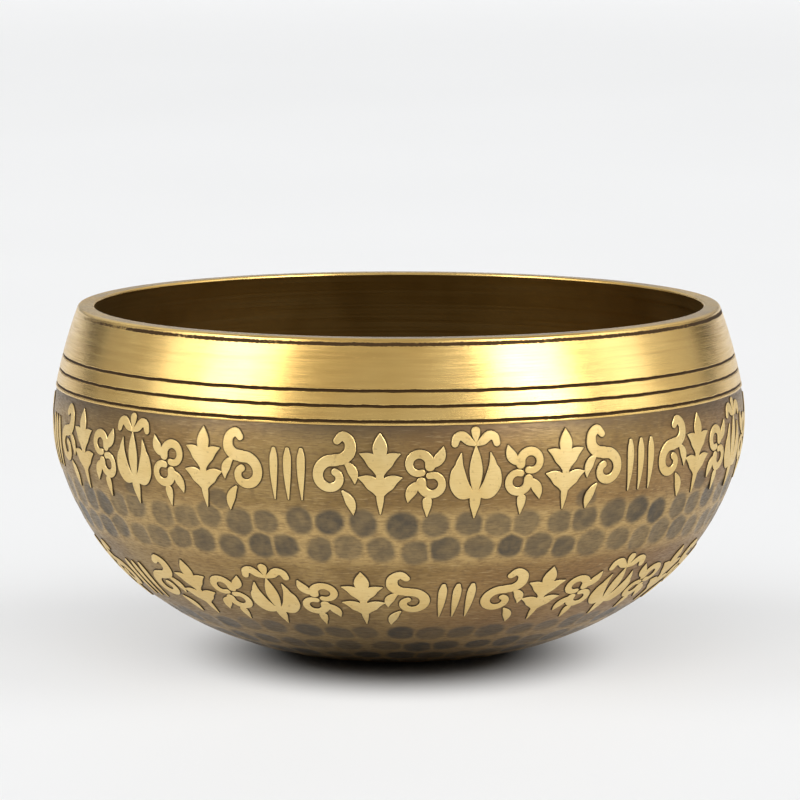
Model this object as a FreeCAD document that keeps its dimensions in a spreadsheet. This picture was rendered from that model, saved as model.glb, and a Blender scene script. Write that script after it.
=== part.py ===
import FreeCAD, Part

import math
import os

import Sketcher
from FreeCAD import Matrix, Placement, Rotation, Vector

# A cast and turned brass singing bowl, standing on its small flat foot.
#
# Frame: millimetres, +Z up, origin at the centre of the flat foot, axis of the bowl on Z.
# -Y is the side that shows an undivided run of ornament.
#
# bowl                  the casting: turned rim with three grooves, hammered wall, flat foot
# upper_ornament_band   the raised ornament under the rim, one unit repeated round the bowl
# lower_ornament_band   the same ornament below the hammered belt
#
# Every profile point below is written as (radius, height). A wall's lean is the angle between
# its outward normal and the horizontal, positive where the normal looks up.

SIZES = [
    ("height", 60.4, "foot to rim"),
    ("rim_radius", 55.42, "outside, at the rim"),
    ("rim_lean", 20.6, "outside wall at the rim, degrees"),
    ("rim_inside_radius", 52.5, "mouth of the bowl"),
    ("rim_outer_round", 0.6, "rounding of the rim's outer edge"),
    ("rim_inner_round", 0.45, "rounding of the rim's inner edge"),
    ("band_foot_radius", 59.35, "where the polished band ends"),
    ("band_foot_height", 46.6, "where the polished band ends"),
    ("relief", 0.22, "how far band and ornament stand above the ground"),
    ("ground_lean", 11.2, "ground just below the band, degrees"),
    ("belly_foot_radius", 58.33, "where the belly runs into the wall"),
    ("belly_foot_height", 32.1, "where the belly runs into the wall"),
    ("wall_foot_radius", 41.75, "where the wall runs into the bottom"),
    ("wall_foot_height", 9.75, "where the wall runs into the bottom"),
    ("foot_radius", 13.9, "flat that the bowl stands on"),
    ("inside_belly_radius", 56.35, "inside, level with the foot of the band"),
    ("inside_belly_height", 46.2, "inside, level with the foot of the band"),
    ("inside_wall_radius", 55.3, "inside, level with the foot of the belly"),
    ("inside_wall_height", 32.6, "inside, level with the foot of the belly"),
    ("inside_bottom_radius", 28.0, "inside, where the wall runs into the bottom"),
    ("inside_bottom_height", 6.9, "inside, where the wall runs into the bottom"),
    ("line_radius", 0.24, "section radius of each turned line"),
    ("line_top_radius", 58.11, "highest turned line"),
    ("line_top_height", 52.1, "highest turned line"),
    ("line_middle_radius", 58.75, "middle turned line"),
    ("line_middle_height", 49.65, "middle turned line"),
    ("line_low_radius", 59.27, "lowest turned line"),
    ("line_low_height", 47.2, "lowest turned line"),
    ("hammer_radius", 30.0, "face of the hammer"),
    ("hammer_depth", 0.14, "how deep each mark goes"),
    ("belt_top_height", 29.7, "upper row of the hammered belt"),
    ("belt_low_height", 25.2, "lower row of the hammered belt"),
    ("bottom_top_height", 7.9, "upper row of marks round the bottom"),
    ("bottom_low_height", 5.1, "lower row of marks round the bottom"),
    ("upper_ornament_height", 38.65, "centre line of the upper ornament"),
    ("lower_ornament_height", 16.2, "centre line of the lower ornament"),
    ("upper_ornament_turn", 12.2, "turn of the upper ornament, degrees"),
    ("lower_ornament_turn", 47.0, "turn of the lower ornament, degrees"),
]
UPPER_UNITS = 6
LOWER_UNITS = 5
BELT_MARKS = 66
BOTTOM_TOP_MARKS = 48
BOTTOM_LOW_MARKS = 40
# Room along the wall for each motif of the unit, from the lotus round.
PLACE_WIDTHS = (8.9, 7.7, 7.2, 8.3, 7.1, 8.3, 7.2, 7.7)

doc = FreeCAD.newDocument("SingingBowl")


def make_sheet():
    table = doc.addObject("Spreadsheet::Sheet", "Sizes")
    for row, (alias, value, note) in enumerate(SIZES, start=1):
        table.set(f"A{row}", note)
        table.set(f"B{row}", str(value))
        table.setAlias(f"B{row}", alias)
    doc.recompute()
    return table


sheet = make_sheet()


# ---------------------------------------------------------------------------- profile arcs

def profile_point(name):
    """The sheet's point (radius, height) of that name."""
    return Vector(sheet.get(f"{name}_radius"), sheet.get(f"{name}_height"), 0)


def tangent_arcs(start, lean, stops):
    """Arcs (centre, radius, upper, lower) from start through stops, each tangent to the last."""
    normal = Vector(math.cos(math.radians(lean)), math.sin(math.radians(lean)), 0)
    arcs = []
    for stop in stops:
        chord = stop - start
        radius = -chord.dot(chord) / (2 * normal.dot(chord))
        centre = start - normal * radius
        arcs.append((centre, radius, start, stop))
        normal = (stop - centre) / radius
        start = stop
    return arcs


def ground_arcs():
    """The outside below the polished band: belly, wall and bottom."""
    step = Vector(sheet.relief, 0, 0)
    foot = Vector(sheet.foot_radius, 0, 0)
    stops = [profile_point("belly_foot"), profile_point("wall_foot"), foot]
    return tangent_arcs(profile_point("band_foot") - step, sheet.ground_lean, stops)


def ground_at(height):
    """Radius and lean, in radians, of the ground at a height."""
    for centre, radius, upper, lower in ground_arcs():
        if lower.y <= height <= upper.y:
            lean = math.asin((height - centre.y) / radius)
            return centre.x + radius * math.cos(lean), lean
    raise ValueError(f"no ground at height {height}")


# ------------------------------------------------------------------------ sketching helpers

def new_body(label):
    body = doc.addObject("PartDesign::Body", label)
    body.Label = label
    return body


def new_sketch(body, name):
    """A sketch on the body's own XZ plane: x is the radius and y the height."""
    sketch = body.newObject("Sketcher::SketchObject", name)
    plane = [item for item in body.Origin.OriginFeatures if item.Role == "XZ_Plane"][0]
    sketch.AttachmentSupport = [(plane, "")]
    sketch.MapMode = "FlatFace"
    return sketch


def bind(sketch, constraint, expression):
    index = sketch.addConstraint(constraint)
    sketch.setExpression(f"Constraints[{index}]", expression)


START, END, CENTRE = 1, 2, 3
ORIGIN = (-1, 1)
VERTICAL_AXIS = -2


def pin(sketch, item, position, radius_name, height_name):
    """Hold one point of the sketch at the sheet's radius and height."""
    place = sketch.getPoint(item, position)
    bind(sketch, Sketcher.Constraint("DistanceX", *ORIGIN, item, position, place.x), radius_name)
    bind(sketch, Sketcher.Constraint("DistanceY", *ORIGIN, item, position, place.y), height_name)


def join(sketch, first, first_end, second, second_end):
    sketch.addConstraint(Sketcher.Constraint("Coincident", first, first_end, second, second_end))


def draw_arcs(sketch, arcs, lean_name):
    """Arcs from the top down; each one ends at its upper point and starts at its lower."""
    items = []
    for centre, radius, upper, lower in arcs:
        circle = Part.Circle(centre, Vector(0, 0, 1), radius)
        low_angle = math.atan2(lower.y - centre.y, lower.x - centre.x)
        high_angle = math.atan2(upper.y - centre.y, upper.x - centre.x)
        items.append(sketch.addGeometry(Part.ArcOfCircle(circle, low_angle, high_angle), False))
    for above, below in zip(items[:-1], items[1:]):
        sketch.addConstraint(Sketcher.Constraint("Tangent", above, START, below, END))
    centre, radius, upper, lower = arcs[0]
    normal = sketch.addGeometry(Part.LineSegment(centre, upper), True)
    join(sketch, normal, START, items[0], CENTRE)
    join(sketch, normal, END, items[0], END)
    lean = math.atan2(upper.y - centre.y, upper.x - centre.x)
    bind(sketch, Sketcher.Constraint("Angle", normal, lean), f"Sizes.{lean_name} * 1deg")
    return items


def draw_line(sketch, first, second):
    """A line between two sketch points, each given as (item, position)."""
    line = Part.LineSegment(sketch.getPoint(*first), sketch.getPoint(*second))
    item = sketch.addGeometry(line, False)
    join(sketch, item, START, *first)
    join(sketch, item, END, *second)
    return item


def turned(body, kind, name, sketch):
    """Revolve a sketch, or cut with it, a full turn about the bowl's axis."""
    feature = body.newObject(kind, name)
    feature.Profile = sketch
    feature.ReferenceAxis = (sketch, ["V_Axis"])
    feature.Angle = 360
    doc.recompute()
    return feature


# ------------------------------------------------------------------------------ the casting

def outer_section(sketch):
    """Polished band, the step down to the ground, then belly, wall and bottom."""
    rim = Vector(sheet.rim_radius, sheet.height, 0)
    band_arcs = tangent_arcs(rim, sheet.rim_lean, [profile_point("band_foot")])
    band = draw_arcs(sketch, band_arcs, "rim_lean")[0]
    pin(sketch, band, END, "Sizes.rim_radius", "Sizes.height")
    pin(sketch, band, START, "Sizes.band_foot_radius", "Sizes.band_foot_height")
    belly, wall, bottom = draw_arcs(sketch, ground_arcs(), "ground_lean")
    pin(sketch, belly, END, "Sizes.band_foot_radius - Sizes.relief", "Sizes.band_foot_height")
    pin(sketch, belly, START, "Sizes.belly_foot_radius", "Sizes.belly_foot_height")
    pin(sketch, wall, START, "Sizes.wall_foot_radius", "Sizes.wall_foot_height")
    pin(sketch, bottom, START, "Sizes.foot_radius", "0")
    draw_line(sketch, (band, START), (belly, END))
    return band, bottom


def inner_section(sketch):
    """Inside wall, ending in a bottom arc whose centre is on the axis."""
    mouth = Vector(sheet.rim_inside_radius, sheet.height, 0)
    stops = [profile_point("inside_belly"), profile_point("inside_wall"), profile_point("inside_bottom")]
    arcs = tangent_arcs(mouth, sheet.rim_lean, stops)
    centre, radius, upper, lower = arcs[-1]
    normal = (lower - centre) / radius
    bottom_radius = lower.x / normal.x
    bottom_centre = lower - normal * bottom_radius
    lowest = bottom_centre - Vector(0, bottom_radius, 0)
    arcs.append((bottom_centre, bottom_radius, lower, lowest))
    rim_wall, belly, wall, bottom = draw_arcs(sketch, arcs, "rim_lean")
    pin(sketch, rim_wall, END, "Sizes.rim_inside_radius", "Sizes.height")
    pin(sketch, rim_wall, START, "Sizes.inside_belly_radius", "Sizes.inside_belly_height")
    pin(sketch, belly, START, "Sizes.inside_wall_radius", "Sizes.inside_wall_height")
    pin(sketch, wall, START, "Sizes.inside_bottom_radius", "Sizes.inside_bottom_height")
    sketch.addConstraint(Sketcher.Constraint("PointOnObject", bottom, CENTRE, VERTICAL_AXIS))
    sketch.addConstraint(Sketcher.Constraint("PointOnObject", bottom, START, VERTICAL_AXIS))
    return rim_wall, bottom


def cast_shell(body):
    """The whole section of the bowl, turned about its axis, with the rim's edges eased."""
    sketch = new_sketch(body, "bowl_section")
    band, outer_bottom = outer_section(sketch)
    rim_wall, inner_bottom = inner_section(sketch)
    draw_line(sketch, (band, END), (rim_wall, END))
    foot = draw_line(sketch, (outer_bottom, START), ORIGIN)
    draw_line(sketch, (foot, END), (inner_bottom, START))
    turned(body, "PartDesign::Revolution", "bowl_turned", sketch)
    for side, radius_name in (("outer", "rim_radius"), ("inner", "rim_inside_radius")):
        round_rim_edge(body, side, sheet.get(radius_name))


def round_rim_edge(body, side, radius):
    """Round the circular rim edge of the given radius."""
    near = 0.01
    base = body.Tip
    for index, edge in enumerate(base.Shape.Edges, start=1):
        box = edge.BoundBox
        at_rim = abs(box.ZMin - sheet.height) < near and abs(box.ZMax - sheet.height) < near
        if at_rim and abs(box.XMax - radius) < near:
            fillet = body.newObject("PartDesign::Fillet", f"rim_{side}_round")
            fillet.Base = (base, [f"Edge{index}"])
            fillet.setExpression("Radius", f"Sizes.rim_{side}_round")
            doc.recompute()
            return
    raise ValueError(f"no {side} rim edge")


def turned_lines(body):
    """Three fine lines cut into the polished band, each a half-round channel."""
    sketch = new_sketch(body, "line_sections")
    for name in ("line_top", "line_middle", "line_low"):
        circle = Part.Circle(profile_point(name), Vector(0, 0, 1), sheet.line_radius)
        item = sketch.addGeometry(circle, False)
        pin(sketch, item, CENTRE, f"Sizes.{name}_radius", f"Sizes.{name}_height")
        bind(sketch, Sketcher.Constraint("Radius", item, sheet.line_radius), "Sizes.line_radius")
    turned(body, "PartDesign::Groove", "turned_lines", sketch)


def hammered_row(body, name, count, turn):
    """A row of shallow round hammer marks at the sheet's height, each from a ball-faced hammer."""
    radius, lean = ground_at(sheet.get(f"{name}_height"))
    out = Vector(math.cos(lean), 0, math.sin(lean))
    stand_off = sheet.hammer_radius - sheet.hammer_depth
    centre = Vector(radius, 0, sheet.get(f"{name}_height")) + out * stand_off
    mark = body.newObject("PartDesign::SubtractiveSphere", f"{name}_mark")
    mark.setExpression("Radius", "Sizes.hammer_radius")
    rotation = Rotation(Vector(0, 0, 1), turn)
    mark.Placement = Placement(rotation.multVec(centre), rotation)
    doc.recompute()
    pattern = body.newObject("PartDesign::PolarPattern", f"{name}_row")
    pattern.Originals = [mark]
    axis = [item for item in body.Origin.OriginFeatures if item.Role == "Z_Axis"][0]
    pattern.Axis = (axis, [""])
    pattern.Angle = 360
    pattern.Occurrences = count
    body.Tip = pattern
    doc.recompute()


def make_bowl():
    body = new_body("bowl")
    cast_shell(body)
    rows = [
        ("belt_top", BELT_MARKS, 0.0),
        ("belt_low", BELT_MARKS, 180.0 / BELT_MARKS),
        ("bottom_top", BOTTOM_TOP_MARKS, 0.0),
        ("bottom_low", BOTTOM_LOW_MARKS, 0.0),
    ]
    volumes = [body.Shape.Volume]
    turned_lines(body)
    volumes.append(body.Shape.Volume)
    for name, count, turn in rows:
        hammered_row(body, name, count, turn)
        volumes.append(body.Shape.Volume)
    for before, after in zip(volumes[:-1], volumes[1:]):
        if after >= before:
            raise ValueError(f"a cut removed nothing: {volumes}")
    return body


# ---------------------------------------------------------------------------- the ornament
#
# A motif is a list of strokes. A stroke is a list of (across, up, half width) points along its
# middle line, in millimetres from the motif's centre.

def leaf(foot, tip, half_width, bend=0.0):
    """Pointed leaf, bowed to the left of its length by bend times that length."""
    return tapered(foot, tip, half_width, bend, [(0.0, 0.3), (0.25, 0.8), (0.5, 1.0), (0.75, 0.72), (1.0, 0.12)])


def drop(head, tip, half_width):
    """Round-headed drop that tapers to its tip."""
    return tapered(head, tip, half_width, 0.0, [(0.0, 1.0), (0.35, 0.86), (0.7, 0.45), (1.0, 0.12)])


def tapered(foot, tip, half_width, bend, widths):
    across = tip[0] - foot[0]
    up = tip[1] - foot[1]
    points = []
    for part, width in widths:
        side = 4 * bend * part * (1 - part)
        points.append((foot[0] + across * part - up * side,
                       foot[1] + up * part + across * side,
                       half_width * width))
    return points


def spiral(centre, radii, start, sweep, half_widths, count):
    """Spiral stroke: the radius and half width run evenly from their first to second value."""
    points = []
    for index in range(count):
        part = index / (count - 1)
        angle = math.radians(start + sweep * part)
        radius = radii[0] + (radii[1] - radii[0]) * part
        half_width = half_widths[0] + (half_widths[1] - half_widths[0]) * part
        points.append((centre[0] + radius * math.cos(angle), centre[1] + radius * math.sin(angle), half_width))
    return points


def mirrored(strokes):
    return [[(-across, up, half_width) for across, up, half_width in stroke] for stroke in strokes]


def lotus():
    side = [
        leaf((-0.5, -3.3), (-2.45, 3.3), 0.9, 0.17),
        [(-0.4, -3.5, 0.5), (-2.3, -3.6, 0.75), (-3.55, -2.0, 0.75), (-3.7, 0.1, 0.5), (-3.4, 1.3, 0.12)],
        [(-0.3, 4.8, 0.35), (-1.2, 5.3, 0.7), (-2.2, 6.15, 0.78), (-3.15, 5.9, 0.7), (-3.5, 4.9, 0.58)],
    ]
    middle = [
        leaf((0, -3.4), (0, 4.4), 1.1),
        drop((0, 6.9), (0, 4.9), 0.75),
        drop((0, -4.1), (0, -7.7), 0.95),
    ]
    return middle + side + mirrored(side)


def sprig():
    side = [
        leaf((-0.2, -3.7), (-3.5, -0.6), 1.15, -0.17),
        leaf((-0.2, -0.3), (-3.2, 3.3), 1.1, -0.17),
    ]
    stem = [(0, -6.8, 0.12), (0, -4.0, 0.62), (0, 0, 0.62), (0, 3.0, 0.5)]
    return [stem, leaf((0, 1.9), (0, 6.6), 1.2)] + side + mirrored(side)


def scroll():
    crest = [(0.3, 2.3, 0.9), (1.7, 2.5, 0.95), (2.8, 3.6, 0.95), (2.75, 5.3, 0.85), (1.6, 6.2, 0.75), (0.7, 5.4, 0.6)]
    return [
        spiral((-0.2, -0.55), (2.85, 0.98), 75, 340, (0.95, 0.6), 12),
        crest,
        leaf((2.0, 1.9), (3.6, -1.6), 0.8, 0.14),
        leaf((1.6, -3.0), (3.2, -7.0), 0.8, 0.10),
    ]


def double_scroll():
    return [
        spiral((-1.1, 1.6), (1.45, 1.85), -70, -300, (0.55, 0.8), 11),
        spiral((1.1, -1.65), (1.45, 1.85), 110, -300, (0.55, 0.8), 11),
        leaf((1.0, 1.2), (2.9, 4.4), 0.88, -0.10),
        leaf((-1.0, -1.3), (-2.9, -4.7), 0.88, -0.10),
        drop((0.3, -4.6), (0.3, -7.3), 0.78),
    ]


def three_bars():
    spacing = 2.35
    return [[(across, 3.7, 0.36), (across, 2.2, 0.68), (across, -0.8, 0.58), (across, -4.6, 0.12)]
            for across in (-spacing, 0, spacing)]


def unit_motifs():
    """One unit, from place 0 at the lotus round to place 7, alike on both sides of the lotus."""
    return [
        lotus(), mirrored(double_scroll()), sprig(), mirrored(scroll()),
        three_bars(), scroll(), sprig(), double_scroll(),
    ]


def place_turns(units):
    """Turn of each motif of a unit from the lotus, in degrees, when units fill the circle."""
    turns = []
    reached = -PLACE_WIDTHS[0] / 2
    for width in PLACE_WIDTHS:
        turns.append((reached + width / 2) / sum(PLACE_WIDTHS) * 360.0 / units)
        reached += width
    return turns


def stroke_prism(stroke, depth, rise):
    """The stroke's outline, from depth below the plane to rise above it."""
    spine = Part.BSplineCurve()
    spine.interpolate([Vector(across, up, 0) for across, up, half_width in stroke])
    left = []
    right = []
    caps = []
    for across, up, half_width in stroke:
        point = Vector(across, up, 0)
        along = Vector(*spine.tangent(spine.parameter(point))[0])
        side = Vector(-along.y, along.x, 0) * half_width
        left.append(point + side)
        right.append(point - side)
        caps.append(along * half_width)
    first = Vector(stroke[0][0], stroke[0][1], 0) - caps[0]
    last = Vector(stroke[-1][0], stroke[-1][1], 0) + caps[-1]
    edges = [
        side_curve(left),
        Part.Arc(left[-1], last, right[-1]).toShape(),
        side_curve(right[::-1]),
        Part.Arc(right[0], first, left[0]).toShape(),
    ]
    face = Part.Face(Part.Wire(edges))
    face.translate(Vector(0, 0, -depth))
    return face.extrude(Vector(0, 0, depth + rise))


def side_curve(points):
    curve = Part.BSplineCurve()
    curve.interpolate(points)
    return curve.toShape()


def relief_layer():
    """The layer between the ground and the tops of the ornament, round the belly and the wall."""
    edges = []
    belly, wall, bottom = ground_arcs()
    for arcs in ((belly, 0.0), (wall, 0.0), (wall, sheet.relief), (belly, sheet.relief)):
        (centre, radius, upper, lower), raised = arcs
        ends = [centre + (point - centre) * ((radius + raised) / radius) for point in (upper, lower)]
        middle = (ends[0] + ends[1]) * 0.5 - centre
        middle = centre + middle * ((radius + raised) / middle.Length)
        points = [Vector(point.x, 0, point.y) for point in (ends[0], middle, ends[1])]
        if raised:
            points.reverse()
        edges.append(Part.Arc(*points).toShape())
    corners = [(edges[1].Vertexes[-1], edges[2].Vertexes[0]), (edges[3].Vertexes[-1], edges[0].Vertexes[0])]
    low_side, top_side = [Part.LineSegment(first.Point, second.Point).toShape() for first, second in corners]
    wire = Part.Wire([edges[0], edges[1], low_side, edges[2], edges[3], top_side])
    return Part.Face(wire).revolve(Vector(0, 0, 0), Vector(0, 0, 1), 360)


def wall_placement(height, turn):
    """Plane that touches the ground at that height: x across, y up the wall, z outward."""
    radius, lean = ground_at(height)
    across = Vector(0, 1, 0)
    up = Vector(-math.sin(lean), 0, math.cos(lean))
    out = Vector(math.cos(lean), 0, math.sin(lean))
    frame = Matrix(across.x, up.x, out.x, radius, across.y, up.y, out.y, 0, across.z, up.z, out.z, height)
    facing_front = turn - 90
    return Placement(Vector(0, 0, 0), Rotation(Vector(0, 0, 1), facing_front)).multiply(Placement(frame))


def make_ornament(label, units):
    """Raised ornament at the sheet's height: one unit cut from the relief layer, then repeated."""
    name = label.replace("_band", "")
    height = sheet.get(f"{name}_height")
    turn = sheet.get(f"{name}_turn")
    # Far enough either side of the flat plane for the wall's curve to stay within the prisms.
    depth = 2.5
    rise = 1.2
    layer = relief_layer()
    solids = []
    for place_turn, strokes in zip(place_turns(units), unit_motifs()):
        prisms = [stroke_prism(stroke, depth, rise) for stroke in strokes]
        motif = prisms[0].multiFuse(prisms[1:]).removeSplitter()
        motif.Placement = wall_placement(height, turn + place_turn)
        solids.extend(motif.common(layer).Solids)
    copies = []
    for index in range(units):
        for solid in solids:
            copies.append(solid.rotated(Vector(0, 0, 0), Vector(0, 0, 1), index * 360.0 / units))
    band = doc.addObject("Part::Feature", label)
    band.Label = label
    band.Shape = Part.Compound(copies)
    band.Placement = Placement()
    return band


# ----------------------------------------------------------------------------------- output

def check_and_write(parts):
    for item in doc.Objects:
        if "Invalid" in item.State or "Error" in item.State:
            raise ValueError(f"{item.Name} failed: {item.State}")
    os.makedirs("parts", exist_ok=True)
    for part in parts:
        if part.Shape.isNull() or not part.Shape.isValid():
            raise ValueError(f"{part.Label} has no valid shape")
        part.Shape.exportStep(os.path.join("parts", f"{part.Label}.step"))
        print(part.Label, len(part.Shape.Solids), "solids", round(part.Shape.Volume, 1), "mm3")


made = [
    make_bowl(),
    make_ornament("upper_ornament_band", UPPER_UNITS),
    make_ornament("lower_ornament_band", LOWER_UNITS),
]
doc.recompute()
check_and_write(made)
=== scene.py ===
import math
import random

import bpy
import numpy as np
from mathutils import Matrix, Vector
from mathutils.geometry import delaunay_2d_cdt


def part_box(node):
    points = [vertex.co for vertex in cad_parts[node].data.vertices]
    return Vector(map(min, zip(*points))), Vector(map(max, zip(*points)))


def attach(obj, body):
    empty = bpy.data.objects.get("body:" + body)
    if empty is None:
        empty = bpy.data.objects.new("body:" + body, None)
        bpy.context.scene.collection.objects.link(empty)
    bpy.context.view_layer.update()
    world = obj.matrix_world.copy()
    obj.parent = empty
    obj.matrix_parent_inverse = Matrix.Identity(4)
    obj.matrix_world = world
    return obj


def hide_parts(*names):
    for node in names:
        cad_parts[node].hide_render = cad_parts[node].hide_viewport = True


# A brass singing bowl: polished rim with three dark turned lines, etched and hammered wall with
# two bands of raised leaf and scroll ornament, smooth browned inside.
#
# The bowl's sizes are in millimetres, in the CAD frame, and its meshes are written in metres.
# Profile points are (radius, height). A lean is the angle between a wall's outward normal and the
# horizontal. Turns round the bowl start at 0 on the camera's side (-Y) and +X is at 90 degrees.
# The studio is in metres.

MM = 0.001
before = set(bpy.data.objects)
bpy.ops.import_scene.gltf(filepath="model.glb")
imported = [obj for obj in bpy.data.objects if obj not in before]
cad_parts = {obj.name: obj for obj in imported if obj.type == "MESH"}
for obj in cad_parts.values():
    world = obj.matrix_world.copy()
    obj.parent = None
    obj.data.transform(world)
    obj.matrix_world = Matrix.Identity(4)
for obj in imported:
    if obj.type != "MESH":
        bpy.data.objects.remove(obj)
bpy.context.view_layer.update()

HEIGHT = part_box("bowl")[1].z / MM
RIM = (55.42, HEIGHT)
RIM_LEAN = 20.6
BAND_FOOT = (59.35, 46.6)
RELIEF = 0.22
GROUND_START = (BAND_FOOT[0] - RELIEF, BAND_FOOT[1])
GROUND_LEAN = 11.2
BELLY_FOOT = (58.33, 32.1)
WALL_FOOT = (41.75, 9.75)
FOOT_RADIUS = 13.9
MOUTH_RADIUS = 52.5
INSIDE_STOPS = [(56.35, 46.2), (55.3, 32.6), (28.0, 6.9)]
RIM_OUTER_ROUND = 0.6
RIM_INNER_ROUND = 0.45
RIM_TOP_INSET = 0.45
LINE_HEIGHTS = (52.1, 49.65, 47.2)
LINE_HALF_WIDTH = 0.26
LINE_DEPTH = 0.2
LIP_HEIGHT = 0.02
LIP_PLACE = 1.5  # in line half widths from the line's middle
BELT_TOP = 33.0
BELT_FOOT = 22.6
FIELD_FOOT = 10.6
UPPER_ORNAMENT = {"height": 38.65, "turn": 12.2, "units": 6}
LOWER_ORNAMENT = {"height": 16.2, "turn": 47.0, "units": 5}
# Room along the wall for each motif of the unit, from the lotus round.
PLACE_WIDTHS = (8.9, 7.7, 7.2, 8.3, 7.1, 8.3, 7.2, 7.7)
COLUMNS = 1080
SEED = 20
QUARTER_TURN = math.pi / 2
FULL_TURN = 2 * math.pi


# ---- profile arcs

class Section:
    """A run of tangent arcs, measured by the distance along it from its first point."""

    def __init__(self, start, lean, stops):
        self.arcs = []
        self.length = 0.0
        start = np.array(start, float)
        normal = np.array([math.cos(math.radians(lean)), math.sin(math.radians(lean))])
        for stop in stops:
            stop = np.array(stop, float)
            chord = stop - start
            radius = -chord @ chord / (2 * normal @ chord)
            self.add(start - normal * radius, radius, normal, stop)
            normal = (stop - self.arcs[-1]["centre"]) / radius
            start = stop
        self.end = start
        self.end_normal = normal

    def add(self, centre, radius, normal, stop):
        first = math.atan2(normal[1], normal[0])
        last = math.atan2(stop[1] - centre[1], stop[0] - centre[0])
        self.arcs.append({"centre": centre, "radius": radius, "first": first, "start": self.length})
        self.length += radius * (first - last)

    def close_on_axis(self):
        """Add an arc, centred on the axis, down to the lowest point on it."""
        radius = self.end[0] / self.end_normal[0]
        centre = self.end - self.end_normal * radius
        self.add(centre, radius, self.end_normal, np.array([0.0, centre[1] - radius]))
        return self

    def at(self, distance):
        """Radius, height and lean (radians) at distances along the section."""
        distance = np.asarray(distance, float)
        radius = np.zeros_like(distance)
        height = np.zeros_like(distance)
        lean = np.zeros_like(distance)
        for arc in self.arcs:
            here = distance >= arc["start"]
            angle = arc["first"] - (distance[here] - arc["start"]) / arc["radius"]
            radius[here] = arc["centre"][0] + arc["radius"] * np.cos(angle)
            height[here] = arc["centre"][1] + arc["radius"] * np.sin(angle)
            lean[here] = angle
        return radius, height, lean

    def distance_at(self, height):
        """Distance along the section at which it has come down to a height."""
        samples = np.linspace(0, self.length, 4000)
        heights = self.at(samples)[1]
        return float(np.interp(-height, -heights, samples))


BAND = Section(RIM, RIM_LEAN, [BAND_FOOT])
GROUND = Section(GROUND_START, GROUND_LEAN, [BELLY_FOOT, WALL_FOOT, (FOOT_RADIUS, 0.0)])
INSIDE = Section((MOUTH_RADIUS, HEIGHT), RIM_LEAN, INSIDE_STOPS).close_on_axis()


def steps(first, last, spacing):
    """Evenly spaced values from first to last, about that far apart, both ends included."""
    return np.linspace(first, last, max(1, round(abs(last - first) / spacing)) + 1)


def column_angles(columns):
    return np.arange(columns) * FULL_TURN / columns


def turn_between(angle, middle):
    """Turn from the middle to each angle, the short way round."""
    return (angle - middle + math.pi) % FULL_TURN - math.pi


# ---- turned meshes

def smooth_noise(angle, along, most_waves, seed):
    """Gentle seeded noise, mostly -1 to 1, that joins up with itself all the way round. It has
    fewer than most_waves waves round the bowl, and about as long ones along it."""
    draw = np.random.default_rng(seed)
    bowl_radius = 60.0
    waves = 14
    total = np.zeros(np.broadcast(angle, along).shape)
    for _ in range(waves):
        turns = int(draw.integers(1, max(2, int(most_waves))))
        rise = draw.normal() * most_waves / bowl_radius
        total = total + np.cos(turns * angle + rise * along + draw.uniform(0, FULL_TURN))
    return total / math.sqrt(waves)


def ring_noise(angle, most_waves, seed):
    """The same noise for something at one height."""
    return smooth_noise(angle, np.zeros(1), most_waves, seed)


def surface_points(radius, height, angle):
    """Points in metres, one for each radius, height and angle; angle 0 is -Y."""
    height = height * np.ones_like(angle)
    return np.stack([radius * np.sin(angle), -radius * np.cos(angle), height], -1) * MM


def pushed_points(radius, height, lean, push, angle):
    """Points of a turned surface, each pushed out by its own amount at right angles to it."""
    pushed_radius = radius[:, None] + push * np.cos(lean)[:, None]
    pushed_height = height[:, None] + push * np.sin(lean)[:, None]
    return surface_points(pushed_radius, pushed_height, angle)


def grid_normals(points):
    """Outward unit normals of a grid that closes on itself along its columns."""
    around = np.roll(points, -1, axis=1) - np.roll(points, 1, axis=1)
    down = np.gradient(points, axis=0)
    normals = np.cross(down, around)
    return normals / np.maximum(np.linalg.norm(normals, axis=-1, keepdims=True), 1e-12)


def turned_mesh(name, points, values, spare=0, tip=None, faces_in=False):
    """Mesh over a closed grid whose rows run down the outside. Spare rows at both ends only
    shape the normals, so that two pieces that share a row are smooth across it. values are
    per-vertex numbers by name, tip closes the last row, and faces_in turns the surface over."""
    grid_shape = points.shape[:2]
    rows = slice(spare, grid_shape[0] - spare)
    normals = (grid_normals(points) * (-1 if faces_in else 1))[rows]
    points = points[rows]
    row_count, columns = points.shape[:2]
    index = np.arange(row_count * columns).reshape(row_count, columns)
    beside = np.roll(index, -1, axis=1)
    quads = np.stack([index[:-1], index[1:], beside[1:], beside[:-1]], -1).reshape(-1, 4)
    faces = quads.tolist()
    flat_points = points.reshape(-1, 3)
    flat_normals = normals.reshape(-1, 3)
    if tip is not None:
        last = int(flat_points.shape[0])
        flat_points = np.vstack([flat_points, tip["point"]])
        flat_normals = np.vstack([flat_normals, tip["normal"]])
        faces += [[int(index[-1, c]), last, int(beside[-1, c])] for c in range(columns)]
    if faces_in:
        faces = [face[::-1] for face in faces]
    mesh = bpy.data.meshes.new(name)
    mesh.from_pydata(flat_points.tolist(), [], faces)
    for value_name, value in values.items():
        numbers = np.broadcast_to(value, grid_shape)[rows].ravel()
        if tip is not None:
            numbers = np.append(numbers, numbers[-1])
        attribute = mesh.attributes.new(value_name, "FLOAT", "POINT")
        attribute.data.foreach_set("value", numbers.astype(np.float32))
    mesh.shade_smooth()
    mesh.normals_split_custom_set_from_vertices(flat_normals.tolist())
    return mesh


def new_piece(name, mesh, materials, replaces):
    piece = bpy.data.objects.new(name, mesh)
    bpy.context.scene.collection.objects.link(piece)
    for material in materials:
        mesh.materials.append(material)
    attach(piece, "root")
    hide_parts(*replaces)


# ---- hammer marks

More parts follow.
